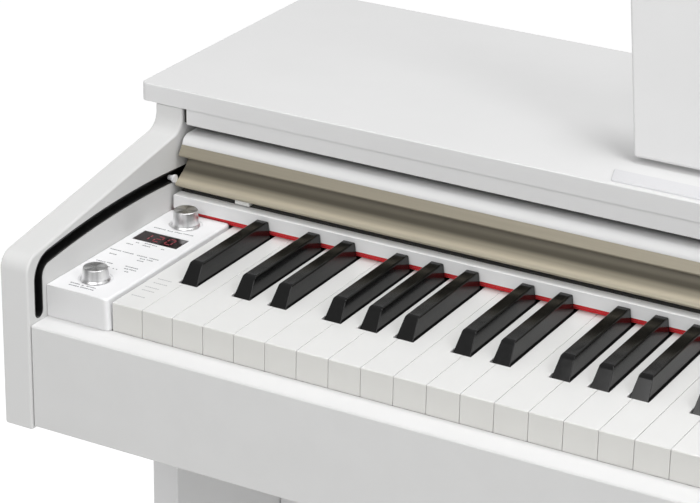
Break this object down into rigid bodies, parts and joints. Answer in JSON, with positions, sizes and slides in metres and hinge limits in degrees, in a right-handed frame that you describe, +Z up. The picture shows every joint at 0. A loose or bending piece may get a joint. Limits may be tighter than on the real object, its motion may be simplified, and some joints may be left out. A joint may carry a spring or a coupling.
{
  "type": "digital piano on stand",
  "caption": "White upright digital piano on a panel stand: full-size keyboard, sliding key cover in curved side tracks, control block, folding music rest and foot pedals.",
  "frame": {"origin": "on the floor, under the centre of the whole piano's width and depth", "axes": "+X towards the treble end, +Y from the player towards the wall, +Z up"},
  "size_m": [1.395, 0.4338, 1.0038],
  "materials": {
    "white_paint": "satin white lacquer on board",
    "back_board": "plain white-faced board",
    "white_key_plastic": "polished ivory-white plastic",
    "black_key_plastic": "polished black plastic",
    "track_plastic": "matt black plastic",
    "white_plastic": "satin white moulded plastic",
    "champagne_metal": "champagne anodised, satin",
    "red_felt": "pressed wool felt",
    "knob_metal": "spun aluminium",
    "zinc_steel": "zinc plated",
    "pedal_brass": "polished brass",
    "display_acrylic": "smoked acrylic",
    "circuit_board": "green solder mask",
    "speaker_paper": "black paper cone and basket",
    "dark_rubber": "matt",
    "ledge_vinyl": "soft white vinyl"
  },
  "bodies": {
    "cabinet": {"side_panel_left": "white_paint", "side_panel_right": "white_paint", "top_panel": "white_paint", "top_sub_rail": "white_paint", "front_rail": "white_paint", "key_bed": "back_board", "cabinet_back_panel": "back_board", "key_rear_rail": "white_paint", "felt_strip": "red_felt", "track_liner_left": "track_plastic", "track_liner_right": "track_plastic", "control_panel": "white_plastic", "control_board": "circuit_board", "display_window": "display_acrylic", "end_block": "white_plastic", "music_rest_ledge": "ledge_vinyl", "music_rest_bracket_left": "zinc_steel", "music_rest_bracket_right": "zinc_steel", "music_rest_rod": "zinc_steel", "leg_left": "white_paint", "leg_right": "white_paint", "foot_left": "white_paint", "foot_right": "white_paint", "modesty_panel": "white_paint", "pedal_box": "white_paint", "pedal_box_cover": "back_board", "key_chassis": "zinc_steel", "speaker_left": "speaker_paper", "speaker_right": "speaker_paper", "main_board": "circuit_board", "power_board": "circuit_board", "headphone_box": "track_plastic", "power_inlet": "track_plastic"},
    "fallboard_pins": {"fallboard_pin_left": "white_plastic", "fallboard_pin_right": "white_plastic"},
    "fallboard": {"fallboard_panel": "white_paint", "fallboard_handle": "champagne_metal"},
    "volume_knob": {"volume_knob": "knob_metal"},
    "select_knob": {"select_knob": "knob_metal"},
    "power_button": {"power_button": "white_plastic"},
    "music_rest": {"music_rest": "white_paint"},
    "pedal_soft": {"pedal_soft": "pedal_brass"},
    "pedal_sostenuto": {"pedal_sostenuto": "pedal_brass"},
    "pedal_sustain": {"pedal_sustain": "pedal_brass"},
    "pedal_adjuster": {"pedal_adjuster": "dark_rubber"},
    "key_A0": {"key_A0": "white_key_plastic"},
    "key_Asharp0": {"key_Asharp0": "black_key_plastic"},
    "key_B0": {"key_B0": "white_key_plastic"},
    "key_C1": {"key_C1": "white_key_plastic"},
    "key_Csharp1": {"key_Csharp1": "black_key_plastic"},
    "key_D1": {"key_D1": "white_key_plastic"},
    "key_Dsharp1": {"key_Dsharp1": "black_key_plastic"},
    "key_E1": {"key_E1": "white_key_plastic"},
    "key_F1": {"key_F1": "white_key_plastic"},
    "key_Fsharp1": {"key_Fsharp1": "black_key_plastic"},
    "key_G1": {"key_G1": "white_key_plastic"},
    "key_Gsharp1": {"key_Gsharp1": "black_key_plastic"},
    "white_keys_upper": {"white_keys_upper": "white_key_plastic"},
    "black_keys_upper": {"black_keys_upper": "black_key_plastic"}
  },
  "joints": [
    {"name": "fallboard_travel", "type": "hinge", "parent": "cabinet", "child": "fallboard_pins", "pos_m": [0, -0.09045, -0.019], "axis": [1, 0, 0], "range_deg": [0, 11.2]},
    {"name": "fallboard_level", "type": "hinge", "parent": "fallboard_pins", "child": "fallboard", "pos_m": [0, -0.04065, 0.75099], "axis": [1, 0, 0], "range_deg": [-9.2, 0]},
    {"name": "volume_turn", "type": "hinge", "parent": "cabinet", "child": "volume_knob", "pos_m": [-0.6405, -0.17065, 0.7275], "axis": [0, 0, 1], "range_deg": [-150, 150]},
    {"name": "select_turn", "type": "hinge", "parent": "cabinet", "child": "select_knob", "pos_m": [-0.6393, -0.06065, 0.7275], "axis": [0, 0, 1], "continuous": true},
    {"name": "power_press", "type": "slide", "parent": "cabinet", "child": "power_button", "axis": [0, 0, -1], "range_m": [0, 0.002], "stiffness_N_per_m": 600, "springref_m": -0.001},
    {"name": "music_rest_fold", "type": "hinge", "parent": "cabinet", "child": "music_rest", "pos_m": [0, 0.02025, 0.8226], "axis": [1, 0, 0], "range_deg": [-78, 0]},
    {"name": "pedal_soft_press", "type": "hinge", "parent": "cabinet", "child": "pedal_soft", "pos_m": [0, 0.13755, 0.081], "axis": [1, 0, 0], "range_deg": [0, 6], "stiffness_Nm_per_rad": 20, "springref_deg": -5.73},
    {"name": "pedal_sostenuto_press", "type": "hinge", "parent": "cabinet", "child": "pedal_sostenuto", "pos_m": [0, 0.13755, 0.081], "axis": [1, 0, 0], "range_deg": [0, 6], "stiffness_Nm_per_rad": 20, "springref_deg": -5.73},
    {"name": "pedal_sustain_press", "type": "hinge", "parent": "cabinet", "child": "pedal_sustain", "pos_m": [0, 0.13755, 0.081], "axis": [1, 0, 0], "range_deg": [0, 6], "stiffness_Nm_per_rad": 20, "springref_deg": -5.73},
    {"name": "pedal_adjuster_height", "type": "slide", "parent": "cabinet", "child": "pedal_adjuster", "axis": [0, 0, 1], "range_m": [0, 0.012]},
    {"name": "key_A0_press", "type": "hinge", "parent": "cabinet", "child": "key_A0", "pos_m": [-0.60072, 0.01255, 0.715], "axis": [1, 0, 0], "range_deg": [0, 2.8], "stiffness_Nm_per_rad": 2, "springref_deg": -6.88},
    {"name": "key_Asharp0_press", "type": "hinge", "parent": "cabinet", "child": "key_Asharp0", "pos_m": [-0.58894, 0.01255, 0.715], "axis": [1, 0, 0], "range_deg": [0, 2.8], "stiffness_Nm_per_rad": 2, "springref_deg": -6.88},
    {"name": "key_B0_press", "type": "hinge", "parent": "cabinet", "child": "key_B0", "pos_m": [-0.57716, 0.01255, 0.715], "axis": [1, 0, 0], "range_deg": [0, 2.8], "stiffness_Nm_per_rad": 2, "springref_deg": -6.88},
    {"name": "key_C1_press", "type": "hinge", "parent": "cabinet", "child": "key_C1", "pos_m": [-0.55361, 0.01255, 0.715], "axis": [1, 0, 0], "range_deg": [0, 2.8], "stiffness_Nm_per_rad": 2, "springref_deg": -6.88},
    {"name": "key_Csharp1_press", "type": "hinge", "parent": "cabinet", "child": "key_Csharp1", "pos_m": [-0.54183, 0.01255, 0.715], "axis": [1, 0, 0], "range_deg": [0, 2.8], "stiffness_Nm_per_rad": 2, "springref_deg": -6.88},
    {"name": "key_D1_press", "type": "hinge", "parent": "cabinet", "child": "key_D1", "pos_m": [-0.53005, 0.01255, 0.715], "axis": [1, 0, 0], "range_deg": [0, 2.8], "stiffness_Nm_per_rad": 2, "springref_deg": -6.88},
    {"name": "key_Dsharp1_press", "type": "hinge", "parent": "cabinet", "child": "key_Dsharp1", "pos_m": [-0.51827, 0.01255, 0.715], "axis": [1, 0, 0], "range_deg": [0, 2.8], "stiffness_Nm_per_rad": 2, "springref_deg": -6.88},
    {"name": "key_E1_press", "type": "hinge", "parent": "cabinet", "child": "key_E1", "pos_m": [-0.50649, 0.01255, 0.715], "axis": [1, 0, 0], "range_deg": [0, 2.8], "stiffness_Nm_per_rad": 2, "springref_deg": -6.88},
    {"name": "key_F1_press", "type": "hinge", "parent": "cabinet", "child": "key_F1", "pos_m": [-0.48293, 0.01255, 0.715], "axis": [1, 0, 0], "range_deg": [0, 2.8], "stiffness_Nm_per_rad": 2, "springref_deg": -6.88},
    {"name": "key_Fsharp1_press", "type": "hinge", "parent": "cabinet", "child": "key_Fsharp1", "pos_m": [-0.47115, 0.01255, 0.715], "axis": [1, 0, 0], "range_deg": [0, 2.8], "stiffness_Nm_per_rad": 2, "springref_deg": -6.88},
    {"name": "key_G1_press", "type": "hinge", "parent": "cabinet", "child": "key_G1", "pos_m": [-0.45937, 0.01255, 0.715], "axis": [1, 0, 0], "range_deg": [0, 2.8], "stiffness_Nm_per_rad": 2, "springref_deg": -6.88},
    {"name": "key_Gsharp1_press", "type": "hinge", "parent": "cabinet", "child": "key_Gsharp1", "pos_m": [-0.4476, 0.01255, 0.715], "axis": [1, 0, 0], "range_deg": [0, 2.8], "stiffness_Nm_per_rad": 2, "springref_deg": -6.88},
    {"name": "white_keys_upper_press", "type": "hinge", "parent": "cabinet", "child": "white_keys_upper", "pos_m": [0.0875, 0.01255, 0.715], "axis": [1, 0, 0], "range_deg": [0, 2.8], "stiffness_Nm_per_rad": 90, "springref_deg": -6.88},
    {"name": "black_keys_upper_press", "type": "hinge", "parent": "cabinet", "child": "black_keys_upper", "pos_m": [0.0875, 0.01255, 0.715], "axis": [1, 0, 0], "range_deg": [0, 2.8], "stiffness_Nm_per_rad": 50, "springref_deg": -6.88}
  ],
  "couplings": [
    {"joint": "fallboard_level", "follows": "fallboard_travel", "ratio": -0.8}
  ]
}
